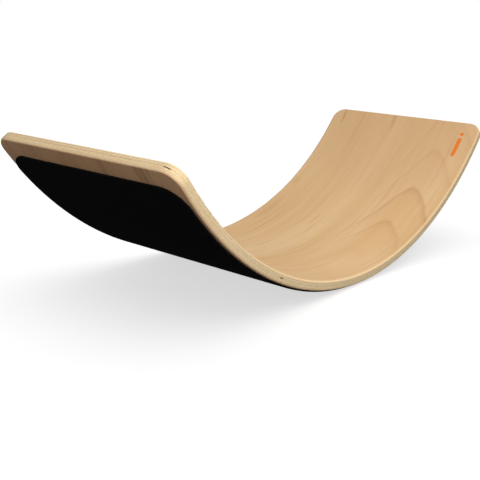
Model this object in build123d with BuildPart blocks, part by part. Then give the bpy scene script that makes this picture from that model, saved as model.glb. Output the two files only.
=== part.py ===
"""Curved balance board of moulded beech plywood with a felted underside.

The board is one arc of a cylinder whose axis runs along Y above the board. It is pressed from
seven veneers, laid alternately lengthwise and crosswise, and a sheet of self-adhesive felt is
stuck under it. The origin is the lowest point of the felt, in the middle of the board. X runs
along the length, Y across the width and Z up. Angles are measured about the bend axis, from
straight down, and are positive towards +X. Lengths are in millimetres, angles in degrees.
"""

import os
from math import asin, cos, degrees, radians, sin

from build123d import *

# Overall size of the wood
board_length = 800.0  # straight from tip to tip, along the underside
board_width = 300.0
bend_radius = 500.0  # of the wood's underside
corner_radius = 22.0  # of the board's four corners

# Plywood lay-up, counted from the underside: odd plies run lengthwise, even ones crosswise
ply_count = 7
ply_thickness = 2.0
edge_rounding = 3.0  # sanded edge all round the deck and the underside
sheet_length = 340.0  # of a crosswise sheet, along the board
lower_joint = -170.0  # along the underside, from the middle to a crossband's first joint
centre_joint = -209.5
upper_joint = -131.0
tight_gap = 0.0
core_gap = 8.5  # where two sheets of the centre crossband slid apart in the press

# Small chip missing from the centre crossband at one corner of the board
chip_radius = 4.5
chip_height = 1.1
chip_turn = 17.0  # from the tip, round the corner

# Felt and the adhesive film that holds it
felt_thickness = 2.5
film_thickness = 0.15
felt_side_inset = 6.3  # strip of bare wood along each long edge
felt_tip_inset = 25.5  # bare wood between the felt and each tip
felt_corner_radius = 30.5

# Worked out from the sizes above
wood_thickness = ply_count * ply_thickness
covering_thickness = film_thickness + felt_thickness
bend_height = covering_thickness + bend_radius
bend_axis = Axis((0, 0, bend_height), (0, -1, 0))
face_rounding = min(edge_rounding, 0.45 * wood_thickness)
cut_margin = 5.0  # how far a cutting slab reaches past the blank that it cuts


def angle_at(distance):
    """Angle of a place given by its distance from the middle along the wood's underside."""
    return degrees(distance / bend_radius)


tip_angle = degrees(asin(board_length / 2 / bend_radius))
felt_angle = tip_angle - angle_at(felt_tip_inset)
far_angle = tip_angle + angle_at(cut_margin)


def section_plane(angle):
    """Plane through the bend axis: its x runs outwards and its normal along the board."""
    outwards = (sin(radians(angle)), 0, -cos(radians(angle)))
    along = (cos(radians(angle)), 0, sin(radians(angle)))
    return Plane(origin=(0, 0, bend_height), x_dir=outwards, z_dir=along)


def bend_slab(radii, width, angles, mode=Mode.ADD):
    """Sweep a curved slab between two radii and two angles, to add it or to cut with it."""
    inner, outer = radii
    start, end = angles
    with BuildSketch(section_plane(start)) as section:
        with Locations(((inner + outer) / 2, 0)):
            Rectangle(outer - inner, width)
    revolve(section.sketch, axis=bend_axis, revolution_arc=end - start, mode=mode)


def round_corners(slab, radius):
    """Round a slab's four corners, seen square to its surface."""
    square_edges = slab.edges().filter_by(GeomType.LINE).filter_by(Axis.Y, reverse=True)
    fillet(square_edges, radius)


def face_outline(slab, radius):
    """The edges round a slab's curved face of this bend radius."""
    curved_faces = slab.faces().filter_by(GeomType.CYLINDER)
    return curved_faces.filter_by(lambda face: abs(face.radius - radius) < 0.01)[0].edges()


def ply_radii(number):
    """Inner and outer radius of a ply's cut, which reaches past the blank on the two faces."""
    outer = bend_radius - (number - 1) * ply_thickness
    inner = outer - ply_thickness
    if number == 1:
        outer += cut_margin
    if number == ply_count:
        inner -= cut_margin
    return inner, outer


def cut_chip(radius):
    """Cut a shallow disc out of a ply's outer side, centred on the outline of a corner."""
    from_tip = corner_radius * (1 - cos(radians(chip_turn)))
    from_side = corner_radius * (1 - sin(radians(chip_turn)))
    section = section_plane(angle_at(from_tip) - tip_angle)
    ply_side = section.origin + section.x_dir * radius
    with BuildSketch(Plane(origin=ply_side, x_dir=section.z_dir, z_dir=section.x_dir)) as disc:
        with Locations((0, board_width / 2 - from_side)):
            Circle(chip_radius)
    extrude(disc.sketch, amount=-chip_height, mode=Mode.SUBTRACT)


def make_sheet(name, blank, radii, start=-far_angle, end=far_angle, chipped=False):
    """Take one sheet out of a pressed blank, between two radii and two angles, and write it."""
    with BuildPart() as sheet:
        add(blank.part)
        bend_slab(radii, board_width + 2 * cut_margin, (start, end), mode=Mode.INTERSECT)
        if chipped:
            cut_chip(radii[1])
    sheet.part.label = name
    export_step(sheet.part, f"parts/{name}.step")


def make_crossband(name, number, joint, gap, chipped=False):
    """Make the three sheets of a crosswise ply, with this gap at the first of its two joints."""
    middle_start = joint + gap / 2
    middle_end = middle_start + sheet_length
    first_joint = angle_at(joint - gap / 2)
    second_joint = angle_at(middle_end)
    radii = ply_radii(number)
    make_sheet(f"{name}_left_sheet", wood_blank, radii, end=first_joint, chipped=chipped)
    make_sheet(f"{name}_middle_sheet", wood_blank, radii, angle_at(middle_start), second_joint)
    make_sheet(f"{name}_right_sheet", wood_blank, radii, start=second_joint)


os.makedirs("parts", exist_ok=True)

# The pressed and trimmed wood, from which every veneer takes its outline and its rounded edge
with BuildPart() as wood_blank:
    bend_slab((bend_radius - wood_thickness, bend_radius), board_width, (-tip_angle, tip_angle))
    round_corners(wood_blank, corner_radius)
    fillet(face_outline(wood_blank, bend_radius), face_rounding)
    fillet(face_outline(wood_blank, bend_radius - wood_thickness), face_rounding)

# Lengthwise veneers
make_sheet("bottom_face_veneer", wood_blank, ply_radii(1))
make_sheet("lower_core_veneer", wood_blank, ply_radii(3))
make_sheet("upper_core_veneer", wood_blank, ply_radii(5))
make_sheet("top_face_veneer", wood_blank, ply_radii(7))

# Crosswise veneers
make_crossband("lower_crossband", 2, lower_joint, tight_gap)
make_crossband("centre_crossband", 4, centre_joint, core_gap, chipped=True)
make_crossband("upper_crossband", 6, upper_joint, tight_gap)

# The felt and its film, cut out together
film_outside = bend_radius + film_thickness
felt_outside = bend_radius + covering_thickness
felt_width = board_width - 2 * felt_side_inset
with BuildPart() as covering_blank:
    bend_slab((bend_radius - cut_margin, felt_outside), felt_width, (-felt_angle, felt_angle))
    round_corners(covering_blank, felt_corner_radius)
make_sheet("felt_adhesive_film", covering_blank, (bend_radius, film_outside))
make_sheet("underside_felt", covering_blank, (film_outside, felt_outside + cut_margin))
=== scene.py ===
"""Looks of the curved balance board: camera, studio, wood and felt, in metres."""

import math

import bmesh
import bpy
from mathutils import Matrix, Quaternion, Vector, noise


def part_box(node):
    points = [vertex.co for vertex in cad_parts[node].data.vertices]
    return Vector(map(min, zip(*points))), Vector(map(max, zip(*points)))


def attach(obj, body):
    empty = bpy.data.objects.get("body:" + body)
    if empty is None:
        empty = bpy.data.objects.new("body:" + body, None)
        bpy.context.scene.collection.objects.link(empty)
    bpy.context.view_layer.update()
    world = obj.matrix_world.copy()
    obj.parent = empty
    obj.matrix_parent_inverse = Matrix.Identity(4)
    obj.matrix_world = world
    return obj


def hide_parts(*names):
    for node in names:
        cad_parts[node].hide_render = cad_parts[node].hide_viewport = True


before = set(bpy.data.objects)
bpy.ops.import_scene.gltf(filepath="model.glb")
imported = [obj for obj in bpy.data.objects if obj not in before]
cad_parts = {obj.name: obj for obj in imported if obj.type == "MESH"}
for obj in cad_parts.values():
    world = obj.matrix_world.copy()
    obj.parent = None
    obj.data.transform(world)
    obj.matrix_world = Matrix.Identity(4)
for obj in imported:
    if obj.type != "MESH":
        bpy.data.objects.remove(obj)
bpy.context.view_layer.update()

# The board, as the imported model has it, in metres
bend_radius = 0.500  # of the wood's underside
bend_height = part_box("bottom_face_veneer")[0].z + bend_radius
deck_radius = bend_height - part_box("top_face_veneer")[0].z
ply_count = 7
ply_thickness = (bend_radius - deck_radius) / ply_count
board_half_length = 0.400
tip_angle = math.asin(board_half_length / bend_radius)
chip_place = (-0.4627, -0.1344)  # along the board and across it
chip_level = 0.49345  # from the bend axis to mid-height of the chip
chip_reach = (0.0044, 0.0047)  # where the painted shade inside it starts and stops fading
chip_half_height = (0.00058, 0.00068)

# The felt
felt_inside = 0.50015
felt_outside = bend_height
felt_half_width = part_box("underside_felt")[1].y
felt_tip_inset = 0.0255
felt_corner = 0.0305
felt_angle = tip_angle - felt_tip_inset / bend_radius
felt_unevenness = 0.00012
felt_edge_rounding = 0.0007

# A cut across the fibres begins to show at the first of these slopes and is full at the second
cut_slopes = (0.55, 0.95)

# Glue lines, as shares of a ply's thickness: the dark core, and where it has faded out
glue_line = (0.03, 0.15)
bare_from_face = (0.4, 0.3)


class Shader:
    """A material's node tree, with short calls for the nodes that the finishes share."""

    def __init__(self, name):
        self.material = bpy.data.materials.new(name)
        self.material.use_nodes = True
        self.tree = self.material.node_tree
        self.surface = self.tree.nodes["Principled BSDF"]

    def node(self, kind, **settings):
        made = self.tree.nodes.new(kind)
        for key, value in settings.items():
            setattr(made, key, value)
        return made

    def feed(self, socket, value):
        if isinstance(value, bpy.types.NodeSocket):
            self.tree.links.new(value, socket)
        else:
            socket.default_value = value

    def math(self, operation, *values, clamp=False):
        made = self.node("ShaderNodeMath", operation=operation, use_clamp=clamp)
        for socket, value in zip(made.inputs, values):
            self.feed(socket, value)
        return made.outputs[0]

    def squares(self, first, second):
        return self.math(
            "ADD", self.math("MULTIPLY", first, first), self.math("MULTIPLY", second, second)
        )

    def combine(self, x, y, z):
        made = self.node("ShaderNodeCombineXYZ")
        for socket, value in zip(made.inputs, (x, y, z)):
            self.feed(socket, value)
        return made.outputs[0]

    def noise(self, place, scale=1.0, detail=2.0, roughness=0.5, distortion=0.0):
        made = self.node("ShaderNodeTexNoise")
        self.feed(made.inputs["Vector"], place)
        made.inputs["Scale"].default_value = scale
        made.inputs["Detail"].default_value = detail
        made.inputs["Roughness"].default_value = roughness
        made.inputs["Distortion"].default_value = distortion
        return made.outputs["Fac"]

    def spread(self, value, low, high, to_low=0.0, to_high=1.0):
        made = self.node("ShaderNodeMapRange", interpolation_type="SMOOTHSTEP")
        for socket, given in zip(made.inputs, (value, low, high, to_low, to_high)):
            self.feed(socket, given)
        return made.outputs[0]

    def blend(self, amount, first, second, mode="MIX"):
        made = self.node("ShaderNodeMix", data_type="RGBA", blend_type=mode)
        factor, colour_a, colour_b = 0, 6, 7
        for number, value in ((factor, amount), (colour_a, first), (colour_b, second)):
            self.feed(made.inputs[number], value)
        return made.outputs[2]

    def bump(self, height, distance, strength=1.0):
        made = self.node("ShaderNodeBump")
        made.inputs["Strength"].default_value = strength
        made.inputs["Distance"].default_value = distance
        self.feed(made.inputs["Height"], height)
        self.feed(self.surface.inputs["Normal"], made.outputs["Normal"])

    def board_place(self):
        """Distance along the board, across it, and outwards from the bend axis."""
        place = self.node("ShaderNodeTexCoord").outputs["Object"]
        split = self.node("ShaderNodeSeparateXYZ")
        self.feed(split.inputs[0], place)
        x, y, z = split.outputs
        below = self.math("SUBTRACT", bend_height, z)
        along = self.math("MULTIPLY", self.math("ARCTAN2", x, below), bend_radius)
        return along, y, self.math("SQRT", self.squares(x, below))


def colour(red, green, blue):
    """A colour given as it looks on a screen, from 0 to 255, as shader values."""
    channels = [value / 255 for value in (red, green, blue)]
    return [((c + 0.055) / 1.055) ** 2.4 if c > 0.04045 else c / 12.92 for c in channels] + [1]


def stretched(shader, place, along, across, outwards, shift=0.0):
    """Texture place squeezed by these densities, in features per metre."""
    s, y, r = place
    return shader.combine(
        shader.math("MULTIPLY_ADD", s, along, shift),
        shader.math("MULTIPLY", y, across),
        shader.math("MULTIPLY", r, outwards),
    )


def end_grain(shader, fibre_along):
    """How squarely the surface cuts the fibres, from 0 on the side of the grain to 1 across it."""
    normal = shader.node("ShaderNodeNewGeometry").outputs["Normal"]
    split = shader.node("ShaderNodeSeparateXYZ")
    shader.feed(split.inputs[0], normal)
    across = shader.math("ABSOLUTE", split.outputs[1])
    if not fibre_along:
        return shader.spread(across, *cut_slopes)
    place = shader.node("ShaderNodeTexCoord").outputs["Object"]
    where = shader.node("ShaderNodeSeparateXYZ")
    shader.feed(where.inputs[0], place)
    below = shader.math("SUBTRACT", bend_height, where.outputs[2])
    tangent = shader.math(
        "ADD",
        shader.math("MULTIPLY", split.outputs[0], below),
        shader.math("MULTIPLY", split.outputs[2], where.outputs[0]),
    )
    facing = shader.math("ABSOLUTE", shader.math("DIVIDE", tangent, bend_radius))
    return shader.spread(facing, *cut_slopes)


def glue_lines(shader, radius):
    """1 on the thin dark lines between plies, 0 elsewhere and on the two faces."""
    depth = shader.math("DIVIDE", shader.math("SUBTRACT", bend_radius, radius), ply_thickness)
    off_line = shader.math("ABSOLUTE", shader.math("SUBTRACT", depth, shader.math("ROUND", depth)))
    line = shader.spread(off_line, *glue_line, 1.0, 0.0)
    half = ply_count / 2
    from_middle = shader.math("ABSOLUTE", shader.math("SUBTRACT", depth, half))
    low, high = (half - margin for margin in bare_from_face)
    inside = shader.spread(from_middle, low, high, 1.0, 0.0)
    return shader.math("MULTIPLY", line, inside)


def flame_figure(shader, place, centre, apex, pitch):
    """Nested flame arcs of a peeled veneer: 0 between the lines and strongest on them."""
    s, y, _ = place
    blunt = 0.020  # roundness of each arc's point
    far_slope, near_slope = 4.0, 1.75  # how fast an arc falls back on either side of its point
    line_strength, shade_strength = 0.34, 0.13
    slow = stretched(shader, place, 3.0, 9.0, 0.0)
    wander = shader.math("SUBTRACT", shader.noise(slow, detail=3.0), 0.5)
    wobble = shader.math("SUBTRACT", shader.noise(slow, scale=2.3, detail=2.0), 0.5)
    off = shader.math("SUBTRACT", shader.math("MULTIPLY_ADD", wobble, 0.016, y), centre)
    upper = shader.math("MAXIMUM", off, 0.0)
    lower = shader.math("MAXIMUM", shader.math("MULTIPLY", off, -1.0), 0.0)

    def falling_back(distance, slope):
        square = shader.math("MULTIPLY_ADD", distance, distance, blunt * blunt)
        rise = shader.math("SUBTRACT", shader.math("SQRT", square), blunt)
        return shader.math("MULTIPLY", rise, slope)

    back = shader.math("ADD", falling_back(upper, far_slope), falling_back(lower, near_slope))
    reach = shader.math("ADD", shader.math("ADD", s, back), shader.math("MULTIPLY", wander, 0.05))
    arcs = shader.math("DIVIDE", shader.math("SUBTRACT", reach, apex), pitch)
    phase = shader.math("FRACT", arcs)
    line_ends = shader.spread(phase, 0.93, 1.0, 1.0, 0.0)
    line = shader.math("MULTIPLY", shader.spread(phase, 0.70, 0.95), line_ends)
    shade_ends = shader.spread(phase, 0.9, 1.0, 1.0, 0.0)
    shade = shader.math("MULTIPLY", shader.spread(phase, 0.0, 0.9), shade_ends)
    near = shader.spread(upper, 0.025, 0.070, 1.0, 0.22)
    begun = shader.spread(s, apex - 2.4 * pitch, apex - 0.6 * pitch, 0.1, 1.0)
    outer = shader.spread(arcs, 0.05, 0.65, 1.0, 0.42)
    lines = shader.math("MULTIPLY", line, line_strength)
    both = shader.math("MULTIPLY_ADD", shade, shade_strength, lines)
    both = shader.math("MULTIPLY", both, outer)
    return shader.math("MULTIPLY", shader.math("MULTIPLY", both, near), begun)


def streak(shader, place, centre, half_length, half_width):
    """Soft mineral streaks, colour zones and painted shade along the grain: 1 in the middle,
    fading to 0.
    """
    s, y, _ = place
    waviness = 0.006
    bend = shader.math("SUBTRACT", shader.noise(stretched(shader, place, 14.0, 14.0, 0.0)), 0.5)
    along = shader.math("DIVIDE", shader.math("SUBTRACT", s, centre[0]), half_length)
    beside = shader.math("SUBTRACT", shader.math("MULTIPLY_ADD", bend, waviness, y), centre[1])
    across = shader.math("DIVIDE", beside, half_width)
    return shader.spread(shader.squares(along, across), 0.0, 1.6, 1.0, 0.0)


def pill(shader, place, centre, half_length, radius):
    """1 inside a slim rounded bar lying along the board, 0 outside."""
    s, y, _ = place
    softness = 0.0001
    beside = shader.math("ABSOLUTE", shader.math("SUBTRACT", s, centre[0]))
    past = shader.math("MAXIMUM", shader.math("SUBTRACT", beside, half_length), 0.0)
    over = shader.math("SUBTRACT", y, centre[1])
    away = shader.math("SQRT", shader.squares(past, over))
    return shader.spread(away, radius - softness, radius + softness, 1.0, 0.0)


def rounded_edge(shader):
    """1 on the sanded rounding between a face and the board's side, 0 on either of them."""
    geometry = shader.node("ShaderNodeNewGeometry")
    place = shader.node("ShaderNodeTexCoord").outputs["Object"]
    outwards = shader.node("ShaderNodeVectorMath", operation="SUBTRACT")
    shader.feed(outwards.inputs[0], place)
    outwards.inputs[1].default_value = (0.0, 0.0, bend_height)
    flat = shader.node("ShaderNodeVectorMath", operation="MULTIPLY")
    shader.feed(flat.inputs[0], outwards.outputs[0])
    flat.inputs[1].default_value = (1.0, 0.0, 1.0)
    unit = shader.node("ShaderNodeVectorMath", operation="NORMALIZE")
    shader.feed(unit.inputs[0], flat.outputs[0])
    facing = shader.node("ShaderNodeVectorMath", operation="DOT_PRODUCT")
    shader.feed(facing.inputs[0], unit.outputs[0])
    shader.feed(facing.inputs[1], geometry.outputs["Normal"])
    square_on = shader.math("ABSOLUTE", facing.outputs["Value"])
    rising = shader.spread(square_on, 0.15, 0.55)
    return shader.math("MULTIPLY", rising, shader.spread(square_on, 0.90, 0.995, 1.0, 0.0))


def face_veneer(name, light, tan, line, grain, figure, tints_and_shade, streaks, printed):
    """Rotary-cut beech with a clear matt finish, and its edges where the ply shows."""
    shader = Shader(name)
    place = shader.board_place()
    s, y, r = place
    bands = shader.noise(stretched(shader, place, 1.1, 13.0, 0.0), detail=2.0, roughness=0.5)
    patches = shader.noise(stretched(shader, place, 2.6, 7.0, 0.0, 3.0), detail=2.0)
    base = shader.blend(shader.spread(bands, 0.32, 0.70), light, tan)
    base = shader.blend(shader.spread(patches, 0.40, 0.70, 0.0, 0.55), base, tan)
    # Colour zones of the wood, and on the deck also painted shade that darkens its far end
    for centre, half_length, half_width, strength, tint_and_shade in tints_and_shade:
        zone = streak(shader, place, centre, half_length, half_width)
        base = shader.blend(shader.math("MULTIPLY", zone, strength), base, tint_and_shade)
    thread_place = stretched(shader, place, 3.0, 75.0, 0.0, 9.0)
    threads = shader.noise(thread_place, detail=3.0, roughness=0.6)
    base = shader.blend(shader.spread(threads, 0.52, 0.80, 0.0, 0.40 * grain), base, line)
    hair = shader.noise(stretched(shader, place, 9.0, 420.0, 900.0), detail=3.0, roughness=0.6)
    base = shader.blend(shader.spread(hair, 0.45, 0.80, 0.0, 0.22 * grain), base, line)
    base = shader.blend(flame_figure(shader, place, *figure), base, line)
    for centre, half_length, half_width, strength in streaks:
        mark = streak(shader, place, centre, half_length, half_width)
        base = shader.blend(shader.math("MULTIPLY", mark, strength), base, line)
    flecks = shader.noise(stretched(shader, place, 240.0, 2200.0, 2200.0), detail=1.0)
    marks = shader.spread(flecks, 0.62, 0.76)
    base = shader.blend(shader.math("MULTIPLY", marks, 0.35), base, line)
    cut = end_grain(shader, True)
    pores = shader.noise(stretched(shader, place, 60.0, 1100.0, 1500.0), detail=2.0)
    pale_end, dark_end = colour(226, 208, 176), colour(196, 172, 136)
    ends = shader.blend(shader.spread(pores, 0.35, 0.7), pale_end, dark_end)
    base = shader.blend(cut, base, ends)
    glue = shader.math("MULTIPLY", glue_lines(shader, r), 0.8)
    base = shader.blend(glue, base, colour(108, 80, 52))
    # Paler on the rounded edges: partly the lighter sanded wood, partly a painted highlight
    sanded_and_highlight = shader.math("MULTIPLY", rounded_edge(shader), 0.45)
    base = shader.blend(sanded_and_highlight, base, colour(220, 195, 154))
    for centre, half_length, radius in printed:
        ink = shader.math("MULTIPLY", pill(shader, place, centre, half_length, radius), 0.95)
        ink = shader.math("MULTIPLY", ink, shader.spread(flecks, 0.30, 0.40, 0.75, 1.0))
        base = shader.blend(ink, base, colour(228, 118, 20))
    shader.feed(shader.surface.inputs["Base Color"], base)
    shader.feed(shader.surface.inputs["Roughness"], shader.spread(hair, 0.3, 0.7, 0.52, 0.64))
    shader.surface.inputs["Specular IOR Level"].default_value = 0.3
    raised = shader.math("MULTIPLY", hair, 0.5)
    sunk = shader.math("MULTIPLY", marks, 0.6)
    shader.bump(shader.math("SUBTRACT", raised, sunk), distance=0.00006, strength=0.6)
    return shader.material


def chip_painted_shade(shader, place):
    """Painted shade for the chip at one corner of the centre ply: 1 on its walls, 0 elsewhere."""
    s, y, r = place
    beside = shader.math("SUBTRACT", s, chip_place[0])
    over = shader.math("SUBTRACT", y, chip_place[1])
    away = shader.math("SQRT", shader.squares(beside, over))
    within = shader.spread(away, *chip_reach, 1.0, 0.0)
    off_level = shader.math("ABSOLUTE", shader.math("SUBTRACT", r, chip_level))
    return shader.math("MULTIPLY", within, shader.spread(off_level, *chip_half_height, 1.0, 0.0))


def core_veneer(name, fibre_along, light, dark):
    """An inner ply, seen at the board's sanded edge."""
    shader = Shader(name)
    place = shader.board_place()
    s, y, r = place
    if fibre_along:
        fibres = stretched(shader, place, 16.0, 700.0, 2600.0)
        pores = stretched(shader, place, 90.0, 1500.0, 1500.0)
    else:
        fibres = stretched(shader, place, 700.0, 16.0, 2600.0)
        pores = stretched(shader, place, 1500.0, 90.0, 1500.0)
    lines = shader.noise(fibres, detail=2.0, roughness=0.6)
    blotch = shader.noise(stretched(shader, place, 9.0, 9.0, 250.0), detail=3.0)
    base = shader.blend(shader.spread(lines, 0.30, 0.72), light, dark)
    base = shader.blend(shader.spread(blotch, 0.45, 0.75, 0.0, 0.5), base, dark)
    cut = end_grain(shader, fibre_along)
    holes = shader.noise(pores, detail=2.0)
    pale_end, dark_end = colour(226, 205, 166), colour(190, 163, 123)
    ends = shader.blend(shader.spread(holes, 0.40, 0.66), pale_end, dark_end)
    base = shader.blend(shader.math("MULTIPLY", cut, 0.75), base, ends)
    glue = shader.math("MULTIPLY", glue_lines(shader, r), 0.85)
    base = shader.blend(glue, base, colour(104, 76, 48))
    # Painted shade: the chip's walls are darkened almost to black, as its recess looks in shadow
    painted_chip_shade = shader.math("MULTIPLY", chip_painted_shade(shader, place), 0.85)
    base = shader.blend(painted_chip_shade, base, colour(26, 19, 14))
    shader.feed(shader.surface.inputs["Base Color"], base)
    shader.surface.inputs["Roughness"].default_value = 0.62
    shader.surface.inputs["Specular IOR Level"].default_value = 0.3
    shader.bump(shader.math("MULTIPLY", lines, -1.0), distance=0.00008, strength=0.5)
    return shader.material


def film_finish():
    """Clear adhesive film, of which only the cut edge shows."""
    shader = Shader("adhesive_film")
    place = shader.board_place()
    cloud = shader.noise(stretched(shader, place, 300.0, 300.0, 300.0), detail=2.0)
    base = shader.blend(shader.spread(cloud, 0.3, 0.7), colour(96, 84, 66), colour(70, 60, 48))
    shader.feed(shader.surface.inputs["Base Color"], base)
    shader.surface.inputs["Roughness"].default_value = 0.35
    return shader.material


def felt_finish():
    """Dense black needled felt: matted fibres, a little lint and a faint bloom."""
    shader = Shader("felt")
    place = shader.board_place()
    tangle = shader.noise(stretched(shader, place, 900.0, 900.0, 900.0), detail=4.0, roughness=0.7)
    first = stretched(shader, place, 300.0, 2400.0, 900.0)
    second = stretched(shader, place, 2400.0, 300.0, 900.0, 5.0)
    both_ways = [shader.noise(lay, distortion=1.5) for lay in (first, second)]
    fibres = shader.math("MAXIMUM", *both_ways)
    matted = shader.noise(stretched(shader, place, 60.0, 60.0, 60.0), detail=4.0)
    base = shader.blend(shader.spread(matted, 0.3, 0.7), colour(5, 5, 6), colour(8, 8, 9))
    base = shader.blend(shader.spread(fibres, 0.60, 0.80, 0.0, 0.8), base, colour(16, 16, 18))
    shader.feed(shader.surface.inputs["Base Color"], base)
    shader.surface.inputs["Roughness"].default_value = 0.95
    shader.surface.inputs["Specular IOR Level"].default_value = 0.04
    shader.surface.inputs["Sheen Weight"].default_value = 0.01
    shader.surface.inputs["Sheen Roughness"].default_value = 0.5
    coarse = shader.math("MULTIPLY", tangle, 0.6)
    fine = shader.math("MULTIPLY", fibres, 0.7)
    shader.bump(shader.math("ADD", coarse, fine), distance=0.0006, strength=0.8)
    return shader.material


def make_felt(finish):
    """The felt sheet: two curved faces with rounded corners, and a soft cut edge between them."""
    rows_in_corner = 28  # of points along each end, where the outline turns
    rows_between = 290
    columns = 96
    half_length = felt_angle * bend_radius
    straight = half_length - felt_corner
    stations = []
    for step in range(rows_in_corner):
        turn = math.pi / 2 * step / rows_in_corner
        inset = felt_corner * (1 - math.sin(turn))
        stations.append((-straight - felt_corner * math.cos(turn), inset))
    for step in range(rows_between + 1):
        stations.append((straight * (2 * step / rows_between - 1), 0.0))
    stations += [(-s, inset) for s, inset in reversed(stations[:rows_in_corner])]

    mesh = bmesh.new()

    def point(s, y, radius):
        angle = s / bend_radius
        return Vector((radius * math.sin(angle), y, bend_height - radius * math.cos(angle)))

    def layer(radius, roughness):
        grid = []
        for s, inset in stations:
            reach = felt_half_width - inset
            row = []
            for column in range(columns + 1):
                y = reach * (2 * column / columns - 1)
                broad = noise.noise(Vector((s, y, radius)) * 90.0)
                lump = broad + 0.5 * noise.noise(Vector((s, y, 1.0)) * 260.0)
                row.append(mesh.verts.new(point(s, y, radius - roughness * (0.5 + 0.5 * lump))))
            grid.append(row)
        return grid

    outer = layer(felt_outside, felt_unevenness)
    inner = layer(felt_inside, 0.0)
    last_row = len(stations) - 1
    for i in range(last_row):
        for j in range(columns):
            mesh.faces.new((outer[i][j], outer[i + 1][j], outer[i + 1][j + 1], outer[i][j + 1]))
            mesh.faces.new((inner[i][j], inner[i][j + 1], inner[i + 1][j + 1], inner[i + 1][j]))
    border = [(i, 0) for i in range(last_row)] + [(last_row, j) for j in range(columns)]
    border += [(i, columns) for i in range(last_row, 0, -1)]
    border += [(0, j) for j in range(columns, 0, -1)]
    for (i, j), (k, m) in zip(border, border[1:] + border[:1]):
        mesh.faces.new((outer[i][j], inner[i][j], inner[k][m], outer[k][m]))
    bmesh.ops.recalc_face_normals(mesh, faces=mesh.faces)
    felt_middle = (felt_inside + felt_outside) / 2
    sharp_fold = 0.9
    outer_rim = [
        edge
        for edge in mesh.edges
        if len(edge.link_faces) == 2
        and edge.calc_face_angle(0.0) > sharp_fold
        and all((v.co - Vector((0, v.co.y, bend_height))).length > felt_middle for v in edge.verts)
    ]
    bmesh.ops.bevel(
        mesh, geom=outer_rim, offset=felt_edge_rounding, segments=3, profile=0.6, affect="EDGES"
    )
    data = bpy.data.meshes.new("underside_felt_sheet")
    mesh.to_mesh(data)
    mesh.free()
    for face in data.polygons:
        face.use_smooth = True
    data.materials.append(finish)
    felt = bpy.data.objects.new("underside_felt_sheet", data)
    bpy.context.scene.collection.objects.link(felt)
    return felt


def dress(node, finish):
    """Give a CAD node its finish."""
    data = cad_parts[node].data
    data.materials.clear()
    data.materials.append(finish)


# Camera, at the photograph's viewing angle
camera_place = Vector((-0.9442, -0.6568, 0.33485))
camera_azimuth = math.radians(52.26)  # from +Y towards +X
camera_fall = math.radians(14.77)  # looking down
camera_roll = math.radians(3.30)
camera_lens = 57.47
camera_data = bpy.data.cameras.new("camera")
camera_data.lens = camera_lens
camera = bpy.data.objects.new("camera", camera_data)
looking = Vector(
    (
        math.sin(camera_azimuth) * math.cos(camera_fall),
        math.cos(camera_azimuth) * math.cos(camera_fall),
        -math.sin(camera_fall),
    )
)
camera.rotation_mode = "QUATERNION"
upright = looking.to_track_quat("-Z", "Y")
camera.rotation_quaternion = upright @ Quaternion((0, 0, 1), camera_roll)
camera.location = camera_place
bpy.context.scene.collection.objects.link(camera)
bpy.context.scene.camera = camera

# Wood and felt. The printed mark is a bar and a dot, each a centre, a half length and a radius
mark_place = (0.4138, -0.1213)
mark_radius = 0.0036
bar_half_length = 0.0175
bar_shift, dot_shift = -0.006, 0.0235
printed_mark = (
    ((mark_place[0] + bar_shift, mark_place[1]), bar_half_length, mark_radius),
    ((mark_place[0] + dot_shift, mark_place[1]), 0.0, mark_radius),
)
# Centre, half length, half width and strength
deck_streaks = (
    ((0.155, 0.031), 0.024, 0.0016, 0.45),
    ((0.030, 0.044), 0.040, 0.0022, 0.25),
    ((0.447, 0.125), 0.020, 0.0024, 0.60),
    ((0.455, 0.018), 0.026, 0.0030, 0.40),
    ((0.160, 0.130), 0.045, 0.0080, 0.25),
    ((0.262, 0.138), 0.014, 0.0060, 0.22),
)
# Centre, half length, half width, strength and colour
deck_tints_and_far_shade = (
    ((0.175, -0.098), 0.115, 0.040, 0.62, colour(213, 170, 115)),
    ((0.190, -0.048), 0.190, 0.026, 0.62, colour(222, 187, 142)),
    # Painted shade: this last zone darkens the far end of the deck, where less light falls on it
    ((0.420, -0.020), 0.150, 0.200, 0.50, colour(206, 167, 124)),
)
deck_finish = face_veneer(
    "deck_veneer",
    light=colour(222, 188, 143),
    tan=colour(212, 173, 123),
    line=colour(182, 134, 86),
    grain=1.0,
    figure=(-0.086, 0.303, 0.100),
    tints_and_shade=deck_tints_and_far_shade,
    streaks=deck_streaks,
    printed=printed_mark,
)
back_finish = face_veneer(
    "back_veneer",
    light=colour(224, 180, 138),
    tan=colour(205, 158, 114),
    line=colour(132, 86, 54),
    grain=2.2,
    figure=(0.060, 0.140, 0.110),
    tints_and_shade=(),
    streaks=(),
    printed=(),
)
long_finish = core_veneer(
    "long_grain_core", True, light=colour(230, 208, 168), dark=colour(206, 180, 136)
)
cross_finish = core_veneer(
    "cross_grain_core", False, light=colour(218, 193, 151), dark=colour(190, 161, 119)
)
dress("top_face_veneer", deck_finish)
dress("bottom_face_veneer", back_finish)
dress("felt_adhesive_film", film_finish())
for node in ("upper_core_veneer", "lower_core_veneer"):
    dress(node, long_finish)
for band in ("lower", "centre", "upper"):
    for side in ("left", "middle", "right"):
        dress(f"{band}_crossband_{side}_sheet", cross_finish)

felt = make_felt(felt_finish())
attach(felt, "root")
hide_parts("underside_felt")

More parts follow.
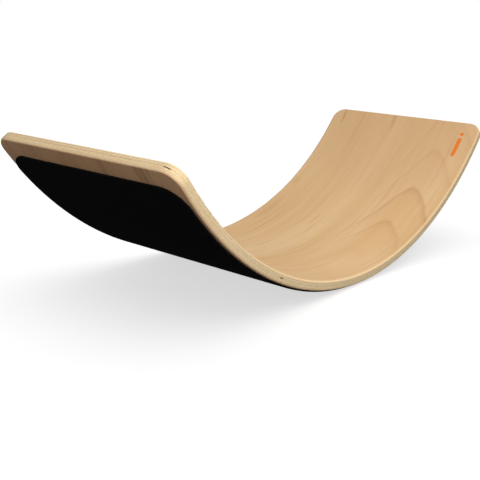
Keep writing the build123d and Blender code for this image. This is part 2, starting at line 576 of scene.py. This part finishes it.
# Floor
floor_size = 60.0
floor_mesh = bmesh.new()
bmesh.ops.create_grid(floor_mesh, x_segments=8, y_segments=8, size=floor_size / 2)
floor_data = bpy.data.meshes.new("floor")
floor_mesh.to_mesh(floor_data)
floor_mesh.free()
floor = bpy.data.objects.new("floor", floor_data)
bpy.context.scene.collection.objects.link(floor)
floor_white = 0.88
floor_glow = 0.64
floor_finish = Shader("floor")
floor_finish.surface.inputs["Base Color"].default_value = (*[floor_white] * 3, 1)
floor_finish.surface.inputs["Roughness"].default_value = 1.0
floor_finish.surface.inputs["Specular IOR Level"].default_value = 0.0
floor_finish.surface.inputs["Emission Color"].default_value = (1, 1, 1, 1)
floor_finish.surface.inputs["Emission Strength"].default_value = floor_glow
seen_from_below = floor_finish.node("ShaderNodeNewGeometry").outputs["Backfacing"]
clear = floor_finish.node("ShaderNodeBsdfTransparent")
either = floor_finish.node("ShaderNodeMixShader")
floor_finish.feed(either.inputs[0], seen_from_below)
floor_finish.feed(either.inputs[1], floor_finish.surface.outputs[0])
floor_finish.feed(either.inputs[2], clear.outputs[0])
output = floor_finish.tree.nodes["Material Output"]
floor_finish.feed(output.inputs["Surface"], either.outputs[0])
floor_data.materials.append(floor_finish.material)
floor.visible_diffuse = False
floor.visible_glossy = False

# Light: a white dome for everything, then suns and a front panel
lower_sky, upper_sky = 0.09, 0.32
world = bpy.data.worlds.new("studio")
world.use_nodes = True
bpy.context.scene.world = world
sky = world.node_tree
backdrop = sky.nodes["Background"]
backdrop.inputs["Color"].default_value = (1, 1, 1, 1)
direction = sky.nodes.new("ShaderNodeTexCoord")
height = sky.nodes.new("ShaderNodeSeparateXYZ")
ramp = sky.nodes.new("ShaderNodeMapRange")
ramp.interpolation_type = "SMOOTHSTEP"
sky.links.new(direction.outputs["Generated"], height.inputs[0])
sky.links.new(height.outputs[2], ramp.inputs["Value"])
ramp.inputs["From Min"].default_value = -0.12
ramp.inputs["From Max"].default_value = -0.02
ramp.inputs["To Min"].default_value = lower_sky
ramp.inputs["To Max"].default_value = upper_sky
sky.links.new(ramp.outputs[0], backdrop.inputs["Strength"])
plain_white = sky.nodes.new("ShaderNodeBackground")
plain_white.inputs["Color"].default_value = (1, 1, 1, 1)
ray = sky.nodes.new("ShaderNodeLightPath")
shown = sky.nodes.new("ShaderNodeMixShader")
sky.links.new(ray.outputs["Is Camera Ray"], shown.inputs[0])
sky.links.new(backdrop.outputs[0], shown.inputs[1])
sky.links.new(plain_white.outputs[0], shown.inputs[2])
sky.links.new(shown.outputs[0], sky.nodes["World Output"].inputs["Surface"])


# Suns and panel light only the board or only the floor, so that the floor's soft shadow is set
# apart from the light that shapes the wood
board_lit = bpy.data.collections.new("lit_by_board_lights")
for piece in [*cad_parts.values(), felt]:
    board_lit.objects.link(piece)
floor_lit = bpy.data.collections.new("lit_by_floor_light")
floor_lit.objects.link(floor)


def add_sun(name, azimuth, elevation, strength, spread, lit=board_lit):
    """A distant soft light that comes from this direction, given as for the camera."""
    data = bpy.data.lights.new(name, "SUN")
    data.energy = strength
    data.angle = math.radians(spread)
    sun = bpy.data.objects.new(name, data)
    a, e = math.radians(azimuth), math.radians(elevation)
    towards = Vector((math.sin(a) * math.cos(e), math.cos(a) * math.cos(e), math.sin(e)))
    sun.rotation_mode = "QUATERNION"
    sun.rotation_quaternion = towards.to_track_quat("Z", "Y")
    sun.light_linking.receiver_collection = lit
    bpy.context.scene.collection.objects.link(sun)


add_sun("key", 100.0, 45.0, 0.85, 60.0)
add_sun("overhead", 180.0, 60.0, 0.20, 60.0)
add_sun("floor_light", 215.0, 76.0, 0.50, 64.0, lit=floor_lit)

panel_place = Vector((-1.2, -1.4, 1.1))
panel_target = Vector((0, 0, 0.1))
panel_data = bpy.data.lights.new("front_panel", "AREA")
panel_data.shape = "DISK"
panel_data.size = 1.2
panel_data.energy = 43.0
panel = bpy.data.objects.new("front_panel", panel_data)
panel.location = panel_place
panel.rotation_mode = "QUATERNION"
panel.rotation_quaternion = (panel_place - panel_target).to_track_quat("Z", "Y")
panel.light_linking.receiver_collection = board_lit
bpy.context.scene.collection.objects.link(panel)
bpy.context.scene.view_settings.view_transform = "Standard"
